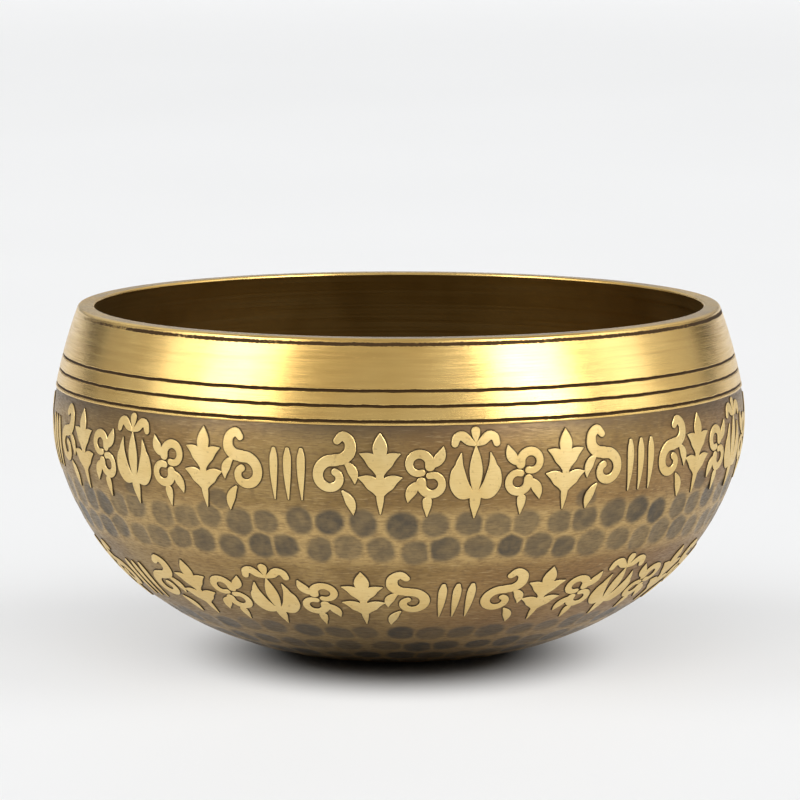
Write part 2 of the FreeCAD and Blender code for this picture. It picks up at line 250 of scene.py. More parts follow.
def hammer_marks():
    """Every mark: angle, distance along the ground, half width, half height, depth, tilt and
    smoke, which is how dark it has gone."""
    draw = random.Random(SEED)
    # Height, marks in the row, shift in marks, half width, half height and depth.
    rows = [
        (29.9, 66, 0.0, 3.0, 2.85, 0.17),
        (25.4, 66, 0.5, 3.0, 2.85, 0.17),
        (9.3, 49, 0.0, 2.95, 2.8, 0.15),
        (6.1, 42, 0.5, 2.95, 2.8, 0.15),
        (3.7, 35, 0.0, 2.9, 2.8, 0.14),
        (1.9, 28, 0.5, 2.9, 2.8, 0.14),
        (0.75, 20, 0.0, 2.8, 2.7, 0.13),
    ]
    marks = []
    for height, count, shift, half_width, half_height, depth in rows:
        for index in range(count):
            marks.append({
                "angle": (index + shift + draw.uniform(-0.13, 0.13)) * FULL_TURN / count,
                "along": GROUND.distance_at(height) + draw.uniform(-0.55, 0.55),
                "half_width": half_width * draw.uniform(0.84, 1.08),
                "half_height": half_height * draw.uniform(0.84, 1.08),
                "depth": depth * draw.uniform(0.7, 1.15),
                "tilt": draw.uniform(-0.5, 0.5),
                "smoke": draw.uniform(0.6, 1.0),
            })
    stray_count = 9
    stray_turn = 0.35
    stray_height = 33.4
    for index in range(stray_count):
        marks.append({
            "angle": (index + draw.uniform(-0.3, 0.3)) * FULL_TURN / stray_count + stray_turn,
            "along": GROUND.distance_at(stray_height) + draw.uniform(-0.4, 0.4),
            "half_width": 2.3,
            "half_height": 2.0,
            "depth": 0.09,
            "tilt": draw.uniform(-0.5, 0.5),
            "smoke": 0.6,
        })
    return marks


def hammered(angle, along, radius, marks):
    """Depth of the hammering, and how smoky each point is: 0 outside the marks, rising inwards
    to the mark's own smoke. Where two marks meet, a clean ridge is left between them."""
    reach = 4.6
    squareness = 2.2
    clean_edge = 0.26
    clean_ridge = 0.34
    outside_all = 2.0
    shape = (along.size, angle.size)
    depth = np.zeros(shape)
    nearest = np.full(shape, outside_all)
    second = np.full(shape, outside_all)
    smoke = np.ones(shape)
    for mark in marks:
        near_rows = np.nonzero(np.abs(along - mark["along"]) < reach)[0]
        if near_rows.size == 0:
            continue
        here = float(np.interp(mark["along"], along, radius))
        across = turn_between(angle, mark["angle"]) * here
        near_columns = np.nonzero(np.abs(across) < reach)[0]
        across = across[near_columns][None, :]
        up = (mark["along"] - along[near_rows])[:, None]
        cos_tilt = math.cos(mark["tilt"])
        sin_tilt = math.sin(mark["tilt"])
        first_axis = np.abs(across * cos_tilt + up * sin_tilt) / mark["half_width"]
        second_axis = np.abs(up * cos_tilt - across * sin_tilt) / mark["half_height"]
        rim = (first_axis ** squareness + second_axis ** squareness) ** (1 / squareness)
        window = np.ix_(near_rows, near_columns)
        depth[window] = np.maximum(depth[window], np.clip(1 - rim * rim, 0, 1) * mark["depth"])
        second[window] = np.minimum(second[window], np.maximum(nearest[window], rim))
        smoke[window] = np.where(rim < nearest[window], mark["smoke"], smoke[window])
        nearest[window] = np.minimum(nearest[window], rim)
    inside = np.minimum((1 - nearest) / clean_edge, (second - nearest) / clean_ridge)
    return depth, np.clip(inside, 0, 1) * smoke


# ---- the ornament
#
# A motif is a list of strokes. A stroke is a list of (across, up, half width) points along its
# middle line, in millimetres from the motif's centre. The design is the CAD model's.

# What delaunay_2d_cdt fills with triangles, and how close together it joins points.
WHOLE_HULL = 0
INSIDE_FACES = 1
WELD_DISTANCE = 1e-4


def leaf(foot, tip, half_width, bend=0.0):
    """Pointed leaf, bowed to the left of its length by bend times that length."""
    widths = [(0.0, 0.3), (0.25, 0.8), (0.5, 1.0), (0.75, 0.72), (1.0, 0.12)]
    return tapered(foot, tip, half_width, bend, widths)


def drop(head, tip, half_width):
    """Round-headed drop that tapers to its tip."""
    widths = [(0.0, 1.0), (0.35, 0.86), (0.7, 0.45), (1.0, 0.12)]
    return tapered(head, tip, half_width, 0.0, widths)


def tapered(foot, tip, half_width, bend, widths):
    """Stroke from foot to tip. widths are (part of the length, part of the half width)."""
    across = tip[0] - foot[0]
    up = tip[1] - foot[1]
    points = []
    for part, width in widths:
        side = 4 * bend * part * (1 - part)
        points.append((foot[0] + across * part - up * side,
                       foot[1] + up * part + across * side,
                       half_width * width))
    return points


def spiral(centre, radii, start, sweep, half_widths, count):
    """Spiral stroke: the radius and half width run evenly from their first to second value."""
    points = []
    for index in range(count):
        part = index / (count - 1)
        angle = math.radians(start + sweep * part)
        radius = radii[0] + (radii[1] - radii[0]) * part
        half_width = half_widths[0] + (half_widths[1] - half_widths[0]) * part
        points.append((centre[0] + radius * math.cos(angle),
                       centre[1] + radius * math.sin(angle),
                       half_width))
    return points


def mirrored(strokes):
    return [[(-across, up, half_width) for across, up, half_width in stroke] for stroke in strokes]


def lotus():
    sepal = [
        (-0.4, -3.5, 0.5), (-2.3, -3.6, 0.75), (-3.55, -2.0, 0.75),
        (-3.7, 0.1, 0.5), (-3.4, 1.3, 0.12),
    ]
    curl = [
        (-0.3, 4.8, 0.35), (-1.2, 5.3, 0.7), (-2.2, 6.15, 0.78),
        (-3.15, 5.9, 0.7), (-3.5, 4.9, 0.58),
    ]
    side = [leaf((-0.5, -3.3), (-2.45, 3.3), 0.9, 0.17), sepal, curl]
    middle = [
        leaf((0, -3.4), (0, 4.4), 1.1),
        drop((0, 6.9), (0, 4.9), 0.75),
        drop((0, -4.1), (0, -7.7), 0.95),
    ]
    return middle + side + mirrored(side)


def sprig():
    side = [
        leaf((-0.2, -3.7), (-3.5, -0.6), 1.15, -0.17),
        leaf((-0.2, -0.3), (-3.2, 3.3), 1.1, -0.17),
    ]
    stem = [(0, -6.8, 0.12), (0, -4.0, 0.62), (0, 0, 0.62), (0, 3.0, 0.5)]
    return [stem, leaf((0, 1.9), (0, 6.6), 1.2)] + side + mirrored(side)


def scroll():
    crest = [
        (0.3, 2.3, 0.9), (1.7, 2.5, 0.95), (2.8, 3.6, 0.95),
        (2.75, 5.3, 0.85), (1.6, 6.2, 0.75), (0.7, 5.4, 0.6),
    ]
    return [
        spiral((-0.2, -0.55), (2.85, 0.98), 75, 340, (0.95, 0.6), 12),
        crest,
        leaf((2.0, 1.9), (3.6, -1.6), 0.8, 0.14),
        leaf((1.6, -3.0), (3.2, -7.0), 0.8, 0.10),
    ]


def double_scroll():
    return [
        spiral((-1.1, 1.6), (1.45, 1.85), -70, -300, (0.55, 0.8), 11),
        spiral((1.1, -1.65), (1.45, 1.85), 110, -300, (0.55, 0.8), 11),
        leaf((1.0, 1.2), (2.9, 4.4), 0.88, -0.10),
        leaf((-1.0, -1.3), (-2.9, -4.7), 0.88, -0.10),
        drop((0.3, -4.6), (0.3, -7.3), 0.78),
    ]


def three_bars():
    spacing = 2.35
    return [[(across, 3.7, 0.36), (across, 2.2, 0.68), (across, -0.8, 0.58), (across, -4.6, 0.12)]
            for across in (-spacing, 0, spacing)]


def unit_motifs():
    """One unit, from place 0 at the lotus round to place 7, alike on both sides of the lotus."""
    return [
        lotus(), mirrored(double_scroll()), sprig(), mirrored(scroll()),
        three_bars(), scroll(), sprig(), double_scroll(),
    ]


def smooth_stroke(stroke):
    """The stroke's middle line as many points (across, up, half width) on a smooth curve."""
    pitch = 0.28
    least_half_width = 0.1
    knots = np.array(stroke, float)
    before = 2 * knots[0] - knots[1]
    after = 2 * knots[-1] - knots[-2]
    padded = np.vstack([before, knots, after])
    line = []
    for index in range(1, len(padded) - 2):
        first, second, third, fourth = padded[index - 1:index + 3]
        count = max(2, int(np.linalg.norm((third - second)[:2]) / pitch))
        for part in np.arange(count) / count:
            line.append(0.5 * (2 * second + (third - first) * part
                               + (2 * first - 5 * second + 4 * third - fourth) * part ** 2
                               + (3 * second - first - 3 * third + fourth) * part ** 3))
    line.append(knots[-1])
    line = np.array(line)
    line[:, 2] = np.maximum(line[:, 2], least_half_width)
    return line


def stroke_outline(line):
    """Closed outline round a stroke, with round ends."""
    along = np.gradient(line[:, :2], axis=0)
    along /= np.linalg.norm(along, axis=1)[:, None]
    side = np.column_stack([-along[:, 1], along[:, 0]]) * line[:, 2:]
    left = line[:, :2] + side
    right = line[:, :2] - side
    return np.vstack([left, round_end(line[-1], along[-1]), right[::-1], round_end(line[0], -along[0])])


def round_end(point, direction):
    """Half circle of points round the end of a stroke, with more of them on a wider one."""
    heading = math.atan2(direction[1], direction[0])
    pitch = 0.12
    count = 3 + int(point[2] / pitch)
    turns = heading + np.linspace(QUARTER_TURN, -QUARTER_TURN, count + 2)[1:-1]
    return point[:2] + point[2] * np.column_stack([np.cos(turns), np.sin(turns)])


def inside_strokes(points, lines):
    """How far inside the motif each point lies: negative outside."""
    best = np.full(len(points), -np.inf)
    for line in lines:
        away = np.linalg.norm(points[:, None, :] - line[None, :, :2], axis=2)
        best = np.maximum(best, (line[None, :, 2] - away).max(axis=1))
    return best


def boundary_loops(triangles):
    """Closed runs of vertices round a set of triangles, with the triangles on the left."""
    edges = set()
    for a, b, c in triangles:
        edges.update([(a, b), (b, c), (c, a)])
    following = {a: b for a, b in edges if (b, a) not in edges}
    loops = []
    while following:
        start, current = following.popitem()
        loop = [start]
        while current != start and current in following:
            loop.append(current)
            current = following.pop(current)
        loops.append(loop)
    return loops


def enclosed(points, loops):
    """Whether each point lies inside the area that the closed loops bound."""
    crossings = np.zeros(len(points), int)
    for loop in loops:
        following = np.roll(loop, -1, axis=0)
        x, y = points[:, :1], points[:, 1:]
        spans = (loop[:, 1] > y) != (following[:, 1] > y)
        run = np.where(following[:, 1] == loop[:, 1], 1.0, following[:, 1] - loop[:, 1])
        crossing_x = loop[:, 0] + (y - loop[:, 1]) * (following[:, 0] - loop[:, 0]) / run
        crossings += (spans & (x < crossing_x)).sum(axis=1)
    return crossings % 2 == 1


def merged_loops(lines):
    """The outlines of a motif's strokes, joined where the strokes overlap."""
    points = []
    faces = []
    for line in lines:
        outline = stroke_outline(line)
        faces.append(list(range(len(points), len(points) + len(outline))))
        points.extend(Vector(point) for point in outline.tolist())
    merged = delaunay_2d_cdt(points, [], faces, INSIDE_FACES, WELD_DISTANCE)
    flat = np.array([tuple(vertex) for vertex in merged[0]])
    return [flat[loop] for loop in boundary_loops(merged[2])]


def flat_motif(strokes):
    """One motif laid flat: vertices (across, up, height above the ground), triangles and, for
    each triangle, whether it is polished top (0) or dark side (1)."""
    chamfer = 0.11
    chamfer_drop = 0.07
    inner_clearance = 0.75 * chamfer
    lattice_clearance = 2.5 * chamfer
    skirt_width = 0.16
    skirt_depth = 0.03
    spacing = 0.75
    lines = [smooth_stroke(stroke) for stroke in strokes]
    loops = merged_loops(lines)
    rim = np.vstack(loops)
    low = rim.min(axis=0)
    high = rim.max(axis=0)
    across = np.arange(low[0], high[0], spacing)
    up = np.arange(low[1], high[1], spacing)
    lattice = np.stack(np.meshgrid(across, up), -1).reshape(-1, 2)
    lattice = lattice[inside_strokes(lattice, lines) > lattice_clearance]
    inner = np.vstack([loop - outward(loop) * chamfer for loop in loops])
    inner = inner[inside_strokes(inner, lines) > inner_clearance]
    edges = []
    first = 0
    for loop in loops:
        count = len(loop)
        edges.extend((first + index, first + (index + 1) % count) for index in range(count))
        first += count
    points = [Vector(point) for point in np.vstack([rim, inner, lattice]).tolist()]
    filled = delaunay_2d_cdt(points, edges, [], WHOLE_HULL, WELD_DISTANCE)
    flat = np.array([tuple(vertex) for vertex in filled[0]])
    triangles = np.array(filled[2])
    triangles = triangles[enclosed(flat[triangles].mean(axis=1), loops)]
    height = np.full(len(flat), RELIEF)
    rim_loops = boundary_loops(triangles.tolist())
    for loop in rim_loops:
        height[loop] = RELIEF - chamfer_drop
    vertices = np.column_stack([flat, height])
    sides = [0] * len(triangles)
    triangles = triangles.tolist()
    for loop in rim_loops:
        first = len(vertices)
        skirt = flat[loop] + outward(flat[loop]) * skirt_width
        vertices = np.vstack([vertices, np.column_stack([skirt, np.full(len(loop), -skirt_depth)])])
        for index in range(len(loop)):
            after = (index + 1) % len(loop)
            triangles.append([loop[index], first + index, first + after])
            triangles.append([loop[index], first + after, loop[after]])
            sides += [1, 1]
    return {"vertices": vertices, "triangles": np.array(triangles), "sides": sides, "lines": lines}


def outward(loop):
    """Unit directions away from the shape along a closed loop that keeps the shape on its left."""
    along = np.roll(loop, -1, axis=0) - np.roll(loop, 1, axis=0)
    along /= np.maximum(np.linalg.norm(along, axis=1)[:, None], 1e-9)
    return np.column_stack([along[:, 1], -along[:, 0]])


def band_middle(band):
    """Distance along the ground and radius at the middle of an ornament band."""
    middle = GROUND.distance_at(band["height"])
    return middle, float(GROUND.at(np.array([middle]))[0][0])


def motif_places(band):
    """(motif number, angle in radians) of every motif round a band."""
    unit_angle = FULL_TURN / band["units"]
    places = []
    for unit in range(band["units"]):
        reached = -PLACE_WIDTHS[0] / 2
        for number, width in enumerate(PLACE_WIDTHS):
            share = (reached + width / 2) / sum(PLACE_WIDTHS)
            places.append((number, math.radians(band["turn"]) + (unit + share) * unit_angle))
            reached += width
    return places


def ornament_mesh(name, band, motifs):
    """Every motif of a band, bent onto the wall. The tops are shaded as one smooth surface and
    the narrow chamfers and sides are shaded flat."""
    middle, middle_radius = band_middle(band)
    points = []
    normals = []
    faces = []
    sides = []
    start = 0
    for number, turn in motif_places(band):
        motif = motifs[number]
        across, up, raised = motif["vertices"].T
        radius, height, lean = GROUND.at(middle - up)
        angle = turn + across / middle_radius
        radius = radius + np.cos(lean) * raised
        height = height + np.sin(lean) * raised
        points.append(surface_points(radius, height, angle))
        level = np.cos(lean)
        wall = np.column_stack([level * np.sin(angle), -level * np.cos(angle), np.sin(lean)])
        corners = points[-1][motif["triangles"]]
        flat = np.cross(corners[:, 1] - corners[:, 0], corners[:, 2] - corners[:, 0])
        flat /= np.maximum(np.linalg.norm(flat, axis=1)[:, None], 1e-15)
        on_top = (raised[motif["triangles"]] > RELIEF - 1e-6).all(axis=1)
        normals.append(np.where(on_top[:, None, None], wall[motif["triangles"]], flat[:, None, :]))
        faces.extend((motif["triangles"] + start).tolist())
        sides.extend(motif["sides"])
        start += len(across)
    mesh = bpy.data.meshes.new(name)
    mesh.from_pydata(np.vstack(points).tolist(), [], faces)
    mesh.polygons.foreach_set("material_index", sides)
    mesh.shade_smooth()
    mesh.normals_split_custom_set(np.vstack(normals).reshape(-1, 3).tolist())
    return mesh


def ornament_shade(angle, along, motifs):
    """How close each point of the ground is to the ornament: 1 against it, fading to 0."""
    half_band = 9.5
    half_motif = 5.4
    fade = 0.4
    shade = np.zeros((along.size, angle.size))
    for band in (UPPER_ORNAMENT, LOWER_ORNAMENT):
        middle, middle_radius = band_middle(band)
        near_rows = np.nonzero(np.abs(along - middle) < half_band)[0]
        if near_rows.size == 0:
            continue
        up = middle - along[near_rows]
        for number, turn in motif_places(band):
            across = turn_between(angle, turn) * middle_radius
            near_columns = np.nonzero(np.abs(across) < half_motif)[0]
            points = np.stack(np.meshgrid(across[near_columns], up), -1).reshape(-1, 2)
            reach = inside_strokes(points, motifs[number]["lines"])
            value = np.exp(np.minimum(reach, 0) / fade).reshape(near_rows.size, near_columns.size)
            window = np.ix_(near_rows, near_columns)
            shade[window] = np.maximum(shade[window], value)
    return shade


# ---- materials

class Nodes:
    """Small helper for writing a material's nodes. Scales are per metre."""

    def __init__(self, name):
        self.material = bpy.data.materials.new(name)
        self.material.use_nodes = True
        self.tree = self.material.node_tree
        self.shader = self.tree.nodes["Principled BSDF"]
        self.place = self.tree.nodes.new("ShaderNodeTexCoord").outputs["Object"]

    def stretched(self, scale):
        """The object's own coordinates, scaled along each axis."""
        mapping = self.tree.nodes.new("ShaderNodeMapping")
        mapping.inputs["Scale"].default_value = scale
        self.tree.links.new(self.place, mapping.inputs["Vector"])
        return mapping.outputs["Vector"]

    def noise(self, scale, detail, stretch=(1, 1, 1), distortion=0.0):
        node = self.tree.nodes.new("ShaderNodeTexNoise")
        node.inputs["Scale"].default_value = scale
        node.inputs["Detail"].default_value = detail
        node.inputs["Roughness"].default_value = 0.55
        node.inputs["Distortion"].default_value = distortion
        self.tree.links.new(self.stretched(stretch), node.inputs["Vector"])
        return node.outputs["Fac"]

    def spots(self, scale):
        node = self.tree.nodes.new("ShaderNodeTexVoronoi")
        node.inputs["Scale"].default_value = scale
        self.tree.links.new(self.place, node.inputs["Vector"])
        return node.outputs["Distance"]

    def value(self, name):
        node = self.tree.nodes.new("ShaderNodeAttribute")
        node.attribute_name = name
        return node.outputs["Fac"]

    def ramp(self, source, low, high, first=0.0, last=1.0):
        """Runs smoothly from first to last as source goes from low to high."""
        node = self.tree.nodes.new("ShaderNodeMapRange")
        node.interpolation_type = "SMOOTHSTEP"
        node.inputs["From Min"].default_value = low
        node.inputs["From Max"].default_value = high
        node.inputs["To Min"].default_value = first
        node.inputs["To Max"].default_value = last
        self.tree.links.new(source, node.inputs["Value"])
        return node.outputs["Result"]

    def maths(self, operation, first, second):
        node = self.tree.nodes.new("ShaderNodeMath")
        node.operation = operation
        for socket, source in zip(node.inputs, (first, second)):
            if isinstance(source, (int, float)):
                socket.default_value = source
            else:
                self.tree.links.new(source, socket)
        return node.outputs["Value"]

    def mix(self, share, first, second):
        """Colour that runs from first to second."""
        node = self.tree.nodes.new("ShaderNodeMix")
        node.data_type = "RGBA"
        self.tree.links.new(share, node.inputs["Factor"])
        colour_sockets = [socket for socket in node.inputs if socket.type == "RGBA"]
        for socket, source in zip(colour_sockets, (first, second)):
            if isinstance(source, tuple):
                socket.default_value = (*source, 1.0)
            else:
                self.tree.links.new(source, socket)
        return [socket for socket in node.outputs if socket.type == "RGBA"][0]

    def bump(self, source, height, under=None):
        node = self.tree.nodes.new("ShaderNodeBump")
        node.inputs["Distance"].default_value = height
        self.tree.links.new(source, node.inputs["Height"])
        if under is not None:
            self.tree.links.new(under, node.inputs["Normal"])
        return node.outputs["Normal"]

    def brush_round(self, amount):
        """Stretch highlights along the axis, as brushing round it does."""
        tangent = self.tree.nodes.new("ShaderNodeTangent")
        tangent.direction_type = "RADIAL"
        tangent.axis = "Z"
        self.tree.links.new(tangent.outputs["Tangent"], self.shader.inputs["Tangent"])
        self.shader.inputs["Anisotropic"].default_value = amount

    def finish(self, colour, roughness, normal, metallic=1.0):
        self.tree.links.new(colour, self.shader.inputs["Base Color"])
        self.tree.links.new(roughness, self.shader.inputs["Roughness"])
        self.tree.links.new(normal, self.shader.inputs["Normal"])
        self.shader.inputs["Metallic"].default_value = metallic
        return self.material


# Noise scales along x, y and z: a large z makes thin lines round the bowl.
BRUSHED = (700, 700, 4000)
FINE_BRUSHED = (120, 120, 6500)
BROAD_BRUSHED = (30, 30, 1100)
SCRATCHED = (500, 500, 6500)
LATHE_RINGS = (25, 25, 1900)


def polished_band_material():
    """Satin-turned brass with fine lines round it, tiny pits, and the dark turned lines, whose darkness
    is partly painted shade.
    """
    golden = (0.72, 0.465, 0.145)
    pale_gold = (0.87, 0.605, 0.22)
    dull_gold = (0.62, 0.38, 0.12)
    pit_brown = (0.18, 0.10, 0.04)
    line_black_and_painted_shade = (0.06, 0.034, 0.015)
    nodes = Nodes("satin_turned_brass")
    lines = nodes.noise(1.0, detail=3.0, stretch=FINE_BRUSHED)
    broad_lines = nodes.noise(1.0, detail=2.0, stretch=BROAD_BRUSHED)
    cloud = nodes.noise(38.0, detail=3.0)
    tone = nodes.mix(nodes.ramp(cloud, 0.35, 0.7), golden, pale_gold)
    tone = nodes.mix(nodes.ramp(broad_lines, 0.45, 0.75, 0.0, 0.35), tone, dull_gold)
    pits = nodes.ramp(nodes.spots(900.0), 0.06, 0.12, 1.0, 0.0)
    few = nodes.ramp(nodes.noise(160.0, detail=2.0), 0.56, 0.66)
    pitted = nodes.maths("MULTIPLY", pits, few)
    tone = nodes.mix(nodes.maths("MULTIPLY", pitted, 0.55), tone, pit_brown)
    # The grain comes in before the cut-off, so that it breaks up the lines' edges.
    grain = nodes.maths("MULTIPLY", nodes.noise(2600.0, detail=3.0), 1.4)
    dark = nodes.ramp(nodes.maths("ADD", nodes.value("line"), grain), 0.98, 1.36)
    # This black colours the turned lines and the tarnish under the rim; on the grooves' upper walls it
    # is partly painted shade.
    tone = nodes.mix(dark, tone, line_black_and_painted_shade)
    nodes.brush_round(0.65)
    roughness = nodes.ramp(lines, 0.3, 0.75, 0.17, 0.27)
    roughness = nodes.maths("ADD", roughness, nodes.maths("MULTIPLY", dark, 0.35))
    normal = nodes.bump(lines, 0.000016)
    normal = nodes.bump(pitted, 0.00002, under=normal)
    return nodes.finish(tone, roughness, normal)


def ground_material():
    """Etched ground: brown patina, brushed round the bowl, with smoky hammer marks and golden
    ridges between them, darker under the band and against the ornament."""
    brown = (0.25, 0.158, 0.060)
    light_brown = (0.385, 0.257, 0.10)
    copper = (0.31, 0.155, 0.065)
    ridge_gold = (0.55, 0.375, 0.155)
    brushed_brown = (0.15, 0.09, 0.045)
    scratch_gold = (0.62, 0.45, 0.22)
    blotch_brown = (0.17, 0.11, 0.06)
    mark_smoke = (0.108, 0.088, 0.062)
    band_smoke = (0.10, 0.075, 0.058)
    ornament_smoke = (0.085, 0.055, 0.028)
    nodes = Nodes("brown_patina")
    brushing = nodes.noise(1.0, detail=4.0, stretch=BRUSHED)
    scratches = nodes.noise(1.0, detail=3.0, stretch=SCRATCHED)
    cloud = nodes.noise(75.0, detail=4.0, distortion=0.4)
    blotch = nodes.noise(900.0, detail=3.0)
    tone = nodes.mix(nodes.ramp(cloud, 0.35, 0.68), brown, light_brown)
    rosy = nodes.ramp(nodes.noise(17.0, detail=2.0), 0.48, 0.66, 0.0, 0.4)
    tone = nodes.mix(rosy, tone, copper)
    tone = nodes.mix(nodes.maths("MULTIPLY", nodes.value("belt"), 0.85), tone, ridge_gold)
    tone = nodes.mix(nodes.ramp(brushing, 0.42, 0.7, 0.0, 0.42), tone, brushed_brown)
    tone = nodes.mix(nodes.ramp(scratches, 0.54, 0.74, 0.0, 0.5), tone, scratch_gold)
    tone = nodes.mix(nodes.ramp(blotch, 0.5, 0.7, 0.0, 0.3), tone, blotch_brown)
    uneven = nodes.ramp(nodes.noise(420.0, detail=3.0), 0.3, 0.7, 0.75, 1.0)
    mark = nodes.maths("MULTIPLY", nodes.value("mark"), uneven)
    tone = nodes.mix(nodes.maths("MULTIPLY", mark, 1.05), tone, mark_smoke)
    patchy = nodes.ramp(cloud, 0.3, 0.6, 0.5, 1.0)
    under_band = nodes.maths("MULTIPLY", nodes.value("under_band"), patchy)
    tone = nodes.mix(nodes.maths("MULTIPLY", under_band, 0.75), tone, band_smoke)
    near = nodes.ramp(nodes.value("near"), 0.4, 0.9, 0.0, 0.95)
    tone = nodes.mix(near, tone, ornament_smoke)
    roughness = nodes.ramp(brushing, 0.3, 0.75, 0.34, 0.52)
    normal = nodes.bump(brushing, 0.00003)
    normal = nodes.bump(scratches, 0.00002, under=normal)
    return nodes.finish(tone, roughness, normal, metallic=0.92)


def ornament_material():
    """Tops of the ornament: pale satin brass with fine scratches."""
    pale_gold = (0.76, 0.55, 0.225)
    paler_gold = (0.84, 0.64, 0.295)
    speck_brown = (0.45, 0.29, 0.12)
    scratch_brown = (0.55, 0.37, 0.13)
    nodes = Nodes("satin_ornament_brass")
    fine = nodes.noise(1.0, detail=3.0, stretch=SCRATCHED)
    cloud = nodes.noise(140.0, detail=3.0)
    tone = nodes.mix(nodes.ramp(cloud, 0.35, 0.7), pale_gold, paler_gold)
    specks = nodes.ramp(nodes.noise(1300.0, detail=2.0), 0.62, 0.74, 0.0, 0.45)
    tone = nodes.mix(specks, tone, speck_brown)
    tone = nodes.mix(nodes.ramp(fine, 0.5, 0.75, 0.0, 0.3), tone, scratch_brown)
    roughness = nodes.ramp(fine, 0.3, 0.75, 0.4, 0.52)
    normal = nodes.bump(fine, 0.000014)
    return nodes.finish(tone, roughness, normal)


def ornament_side_material():
    """Sides of the ornament, where the patina is darkest."""
    near_black = (0.035, 0.021, 0.01)
    dark_brown = (0.09, 0.055, 0.025)
    nodes = Nodes("dark_etched_edge")
    grain = nodes.noise(1400.0, detail=3.0)
    tone = nodes.mix(nodes.ramp(grain, 0.3, 0.7), near_black, dark_brown)
    roughness = nodes.ramp(grain, 0.3, 0.7, 0.5, 0.7)
    normal = nodes.bump(grain, 0.00002)
    return nodes.finish(tone, roughness, normal, metallic=0.8)


def inside_material():
    """Inside: browned brass with soft lathe rings."""
    olive_brown = (0.245, 0.158, 0.05)
    warm_brown = (0.335, 0.228, 0.082)
    ring_brown = (0.16, 0.10, 0.032)
    nodes = Nodes("browned_inside")
    rings = nodes.noise(1.0, detail=3.0, stretch=LATHE_RINGS)
    cloud = nodes.noise(45.0, detail=4.0, distortion=0.3)
    tone = nodes.mix(nodes.ramp(cloud, 0.35, 0.7), olive_brown, warm_brown)
    tone = nodes.mix(nodes.ramp(rings, 0.45, 0.75, 0.0, 0.3), tone, ring_brown)
    roughness = nodes.ramp(rings, 0.3, 0.75, 0.3, 0.44)
    normal = nodes.bump(rings, 0.00002)
    return nodes.finish(tone, roughness, normal, metallic=0.95)


def floor_material():
    """Mid grey card that glows faintly all over except under and close round the bowl. The glow
    washes out the bowl's wide soft shadows and leaves the dark one at its foot."""
    glow_strength = 0.48
    glow_colour = (0.99, 0.995, 1.0, 1.0)
    dark_patch = (25.0, 17.5, 17.5)  # one over its half sizes in metres
    grey = (0.33, 0.332, 0.334)
    light_grey = (0.34, 0.342, 0.344)
    nodes = Nodes("pale_lit_card")
    under_bowl = nodes.tree.nodes.new("ShaderNodeTexGradient")
    under_bowl.gradient_type = "SPHERICAL"
    nodes.tree.links.new(nodes.stretched(dark_patch), under_bowl.inputs["Vector"])
    lit = nodes.ramp(under_bowl.outputs["Fac"], 0.0, 0.55, 1.0, 0.0)
    grain = nodes.noise(6.0, detail=2.0)
    tone = nodes.mix(nodes.ramp(grain, 0.3, 0.7), grey, light_grey)
    nodes.shader.inputs["Emission Color"].default_value = glow_colour
    glow = nodes.maths("MULTIPLY", lit, glow_strength)
    nodes.tree.links.new(glow, nodes.shader.inputs["Emission Strength"])
    roughness = nodes.ramp(grain, 0.3, 0.7, 0.6, 0.66)
    normal = nodes.bump(grain, 0.00001)
    return nodes.finish(tone, roughness, normal, metallic=0.0)


# ---- bowl's pieces

def band_profile():
    """Distances along the band from its foot up to the rim's rounding, closer together in the
    turned lines and under the rim."""
    fine = 0.072
    coarse = 0.45
    stain_reach = 0.9
    line_reach = LIP_PLACE * LINE_HALF_WIDTH
    edges = [BAND.length]
    for height in sorted(LINE_HEIGHTS):
        middle = BAND.distance_at(height)
        edges += [middle + line_reach, middle - line_reach]
    edges += [RIM_OUTER_ROUND + stain_reach, RIM_OUTER_ROUND]
    rows = []
    for number, (first, last) in enumerate(zip(edges[:-1], edges[1:])):
        spacing = fine if number % 2 else coarse
        rows.append(steps(first, last, spacing)[:-1])
    return np.append(np.concatenate(rows), RIM_OUTER_ROUND)


def turned_lines(distance, angle):
    """Depth and darkness of the turned lines: dark grooves that wander a little, each with a
    slight raised lip under it. The darkness is partly the grooves' own black and partly painted
    shade on each groove's upper wall and just above it."""
    lip_width = 0.4
    sway_size = 0.025
    width_change = 0.05
    fullness = 0.7
    wander = ring_noise(angle, most_waves=220, seed=SEED + 1)
    half_width = LINE_HALF_WIDTH * (1 + width_change * wander)
    depth = np.zeros((distance.size, angle.size))
    dark = np.zeros_like(depth)
    for number, height in enumerate(LINE_HEIGHTS):
        sway = sway_size * ring_noise(angle, most_waves=90, seed=SEED + number)
        offset = (distance[:, None] - (BAND.distance_at(height) + sway)) / half_width
        depth = np.maximum(depth, LINE_DEPTH * np.clip(1 - offset ** 2, 0, 1) ** fullness)
        depth = depth - LIP_HEIGHT * np.exp(-((offset - LIP_PLACE) / lip_width) ** 2)
        # Dark from just above the groove to just inside its foot, fading at both edges: the groove's
        # own black, and on the upper wall and just above it partly painted shade.
        top_edge = np.clip((offset + 1.2) / 0.3, 0, 1)
        foot_edge = np.clip((0.8 - offset) / 0.4, 0, 1)
        dark = np.maximum(dark, top_edge * foot_edge)
    return depth, dark


def rim_stain(distance, angle):
    """Darkness of a broken line of tarnish just under the rim's rounding, faint just past the
    -X side."""
    below_rounding = 0.38
    half_width = 0.27
    faint_reach = 0.7
    faintest = 0.15
    sway = 0.02 * ring_noise(angle, most_waves=60, seed=SEED + 11)
    middle = RIM_OUTER_ROUND + below_rounding + sway
    line = np.clip(1.7 - np.abs(distance[:, None] - middle) / half_width, 0, 1)
    broken = np.clip(0.9 + 0.2 * ring_noise(angle, most_waves=24, seed=SEED + 13), 0.3, 1)
    past_side = (angle + QUARTER_TURN) % FULL_TURN
    return line * broken * np.clip(past_side / faint_reach, faintest, 1)


